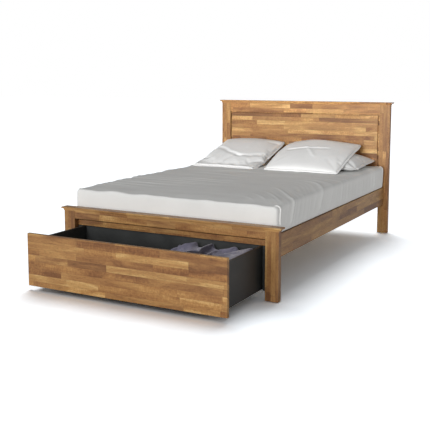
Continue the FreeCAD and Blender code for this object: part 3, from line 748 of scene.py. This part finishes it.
def fitted_sheet():
    """The sheet over the mattress's top and sides, open underneath, with its corner seams."""
    low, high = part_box("mattress")
    mesh = remeshed_copy("sheet", "mattress", SHEET_MESH)
    points = [v.co.copy() for v in mesh.vertices]
    normals = [v.normal.copy() for v in mesh.vertices]
    for vertex, point, normal in zip(mesh.vertices, points, normals):
        vertex.co = sheet_place(point, normal, low, high)

    def open_underneath(shaped):
        under = [f for f in shaped.faces if f.calc_center_median().z < low.z + SHEET_HEM]
        bmesh.ops.delete(shaped, geom=under, context="FACES")

    reshape(mesh, open_underneath)
    piece = new_piece("fitted_sheet_cloth", mesh, sheet_cloth, "white_sheet", "bed_frame", "fitted_sheet")
    add_layer(piece, SHEET_LAYER)
    applied(piece)
    seams = corner_seams(low, high)


# ---- throw in the drawer ----
def throw_point(u, v, low, high):
    """A point of the throw, with u and v from 0 to 1: soft pointed folds that lean on each other."""
    phase = 4.6 * u + 0.55 * math.sin(2.8 * v + 0.6) + 0.55 * noise_at(u * 3.4, v * 2.0, 4.0)
    turn = math.tau * phase
    taper = smoothstep(0.0, 0.14, u) * smoothstep(0.0, 0.06, 1.0 - u)
    taper *= smoothstep(0.0, 0.16, v) * smoothstep(0.0, 0.12, 1.0 - v)
    crest = (0.5 + 0.5 * math.sin(turn)) ** 1.25
    lean = 0.018 * math.sin(turn + 1.1) * taper
    tall = 0.97 + 0.16 * noise_at(u * 4.0, v * 1.5, 9.0)
    small = noise_at(u * 13.0, v * 7.0, 2.0)
    reach = high - low
    x = low.x + reach.x * u + lean + 0.006 * small * taper
    y = low.y + reach.y * v + 0.012 * noise_at(u * 5.0, v * 5.0, 6.0) * taper
    z = low.z + 0.004 + (reach.z - FOLD_HEIGHT) * tall * taper
    z += (FOLD_HEIGHT * crest * tall + 0.005 * small) * (0.15 + 0.85 * taper)
    return x, y, z


def drawer_throw():
    """A knitted throw that was dropped into the right-hand end of the drawer in loose folds."""
    low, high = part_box("drawer_throw")
    across, along = THROW_GRID
    points = [throw_point(i / across, j / along, low, high)
              for j in range(along + 1) for i in range(across + 1)]
    rows = [range(j * (across + 1), (j + 1) * (across + 1)) for j in range(along + 1)]
    mesh = surface_mesh("throw", points, strips(rows))
    piece = new_piece("drawer_throw_cloth", mesh, throw_cloth, "slate_throw", "drawer", "drawer_throw")
    board = ramp_wall("throw_board", low.x - 0.05, high.x + 0.05,
                      ((low.y - 0.05, low.z), (high.y + 0.05, low.z)))
    settle(piece, board, THROW_FRAMES, 0.03, **THROW_CLOTH)
    for vertex in piece.data.vertices:
        vertex.co.x = min(max(vertex.co.x, low.x - 0.004), high.x + 0.002)
        vertex.co.y = min(max(vertex.co.y, low.y - 0.006), high.y + 0.001)
        vertex.co.z = min(max(vertex.co.z, low.z + 0.002), high.z + 0.008)
    add_layer(piece, THROW_LAYER, 0.0)
    refined(piece)


# ---- stage, light, camera ----
def flat_floor():
    """A pale floor that the camera sees brighter than the light it sends back to the bed."""
    bpy.ops.mesh.primitive_plane_add(size=FLOOR_SIZE, location=(0.0, 0.0, cad_low.z - FLOOR_GAP))
    floor = bpy.context.object
    floor.name = "floor"
    r = Recipe("pale_floor")
    speck = r.noise(r.place, 6.0, 2.0)
    pale = r.ramp(speck, ((0.3, (0.80, 0.80, 0.80)), (0.7, (0.84, 0.84, 0.84))))
    lifted = r.mix(1.0, pale, FLOOR_LIFT, "MULTIPLY")
    seen = r.add("ShaderNodeLightPath").outputs["Is Camera Ray"]
    r.surface(r.mix(seen, pale, lifted), 1.0, Specular_IOR_Level=0.0)
    floor.data.materials.append(r.material)


def white_world():
    """A white surround, brighter round the horizon than overhead, that looks plain white itself."""
    world = bpy.data.worlds.new("studio")
    bpy.context.scene.world = world
    world.use_nodes = True
    tree = world.node_tree
    white = (1.0, 1.0, 1.0, 1.0)
    direction = tree.nodes.new("ShaderNodeTexCoord")
    split = tree.nodes.new("ShaderNodeSeparateXYZ")
    height = tree.nodes.new("ShaderNodeMapRange")
    for name, value in (("From Min", 0.0), ("From Max", 0.8), ("To Min", HORIZON_LIGHT),
                        ("To Max", OVERHEAD_LIGHT)):
        height.inputs[name].default_value = value
    surround = tree.nodes["Background"]
    surround.inputs["Color"].default_value = white
    backdrop = tree.nodes.new("ShaderNodeBackground")
    backdrop.inputs["Color"].default_value = white
    backdrop.inputs["Strength"].default_value = 1.0
    ray = tree.nodes.new("ShaderNodeLightPath")
    chooser = tree.nodes.new("ShaderNodeMixShader")
    for source, socket in ((direction.outputs["Generated"], split.inputs[0]),
                           (split.outputs["Z"], height.inputs["Value"]),
                           (height.outputs["Result"], surround.inputs["Strength"]),
                           (ray.outputs["Is Camera Ray"], chooser.inputs[0]),
                           (surround.outputs[0], chooser.inputs[1]),
                           (backdrop.outputs[0], chooser.inputs[2]),
                           (chooser.outputs[0], tree.nodes["World Output"].inputs["Surface"])):
        tree.links.new(source, socket)


def sun(name, place, target, energy, width, *pieces):
    """A sun of a width in degrees that falls on these pieces alone. Everything still casts shadows in it."""
    light = bpy.data.lights.new(name, "SUN")
    light.energy = energy
    light.angle = math.radians(width)
    thing = placed(name, light)
    thing.location = place
    thing.rotation_euler = (Vector(target) - Vector(place)).to_track_quat("-Z", "Y").to_euler()
    receivers = bpy.data.collections.new(name + "_receivers")
    for piece in pieces:
        receivers.objects.link(bpy.data.objects[piece])
    thing.light_linking.receiver_collection = receivers
    return receivers


def camera():
    view = bpy.data.cameras.new("camera")
    view.sensor_width = SENSOR_WIDTH
    view.lens = CAMERA_LENS
    view.shift_y = CAMERA_SHIFT
    thing = placed("camera", view)
    thing.location = CAMERA_PLACE
    thing.rotation_euler = (math.radians(90.0 - CAMERA_PITCH), 0.0, math.radians(CAMERA_YAW))
    bpy.context.scene.camera = thing


def from_foot(y):
    """A distance from the footboard's front face as a row Y."""
    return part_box("footboard_leg_left")[0].y + y


def section(*points):
    """A section to rest on: the mattress's top, then the points, as metres from the foot and up."""
    return [(from_foot(y), z) for y, z in ((1.30, sheet_top + 0.002), *points)]


def fold(path, wide, high, dip=0.0):
    """A crease for a pillow, with its path as points across the bed and from the foot, in metres."""
    return [(x, from_foot(y)) for x, y in path], wide, high, dip


mattress()
fitted_sheet()
drawer_throw()

sheet_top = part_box("fitted_sheet")[1].z
right_rest = section((1.60, sheet_top + 0.002), (1.72, 0.588), (2.04, 0.622), (2.056, 0.90))
pillow("pillow_left", 0.532, 0.625, (-0.390, from_foot(1.778), 0.660), (math.radians(17.0), 0.0), 0.008,
       section((1.66, sheet_top + 0.002), (2.04, 0.635), (2.056, 0.90)),
       (fold(((-0.640, 1.836), (-0.519, 1.746), (-0.430, 1.668), (-0.335, 1.628)), 0.008, 0.002, 0.009),
        fold(((-0.335, 1.628), (-0.270, 1.640), (-0.190, 1.700)), 0.012, 0.000, 0.007),
        fold(((-0.330, 1.900), (-0.325, 1.760)), 0.010, 0.003)), 0.0196)
pillow("pillow_spare", 0.610, 0.455, (0.300, from_foot(1.835), 0.590),
       (math.radians(7.0), math.radians(2.0)), 0.020,
       section((2.056, sheet_top + 0.002), (2.057, 0.90)), (), 0.0205, (0.47, right_rest))
pillow("pillow_right", 0.570, 0.595, (0.227, from_foot(1.785), 0.665), (math.radians(13.0), 0.0), 0.010,
       right_rest,
       (fold(((0.050, 1.722), (0.165, 1.742)), 0.007, 0.003, 0.005),
        fold(((0.205, 1.738), (0.320, 1.757)), 0.007, 0.003, 0.004),
        fold(((0.170, 1.745), (0.215, 1.690), (0.272, 1.605)), 0.009, 0.005)), 0.0196)

bpy.context.scene.view_settings.view_transform = "Standard"
white_world()
flat_floor()
all_but_floor = sun("key", (-0.25, -6.0, 0.95), (0.0, 0.0, 0.3), 1.95, 26.0, "floor")
all_but_floor.collection_objects[0].light_linking.link_state = "EXCLUDE"
sun("overhead", (-0.7, 1.2, 2.4), (0.0, 0.0, 0.0), 1.5, 38.0, "floor")
sun("headboard_fill", (-0.3, -5.6, 1.15), (0.0, 0.0, 0.75), 0.62, 20.0,
    "headboard_panel", "headboard_top_rail", "headboard_cap", "headboard_leg_left", "headboard_leg_right")
sun("pillow_fill", (0.0, -6.0, 0.30), (0.0, 0.0, 0.0), 1.45, 24.0, "pillow_left_case", "pillow_right_case")
sun("drawer_fill", (-0.3, -2.6, 2.0), (0.0, 0.0, 0.0), 1.3, 30.0,
    "drawer_back", "drawer_side_left", "drawer_bottom", "drawer_throw_cloth")
camera()
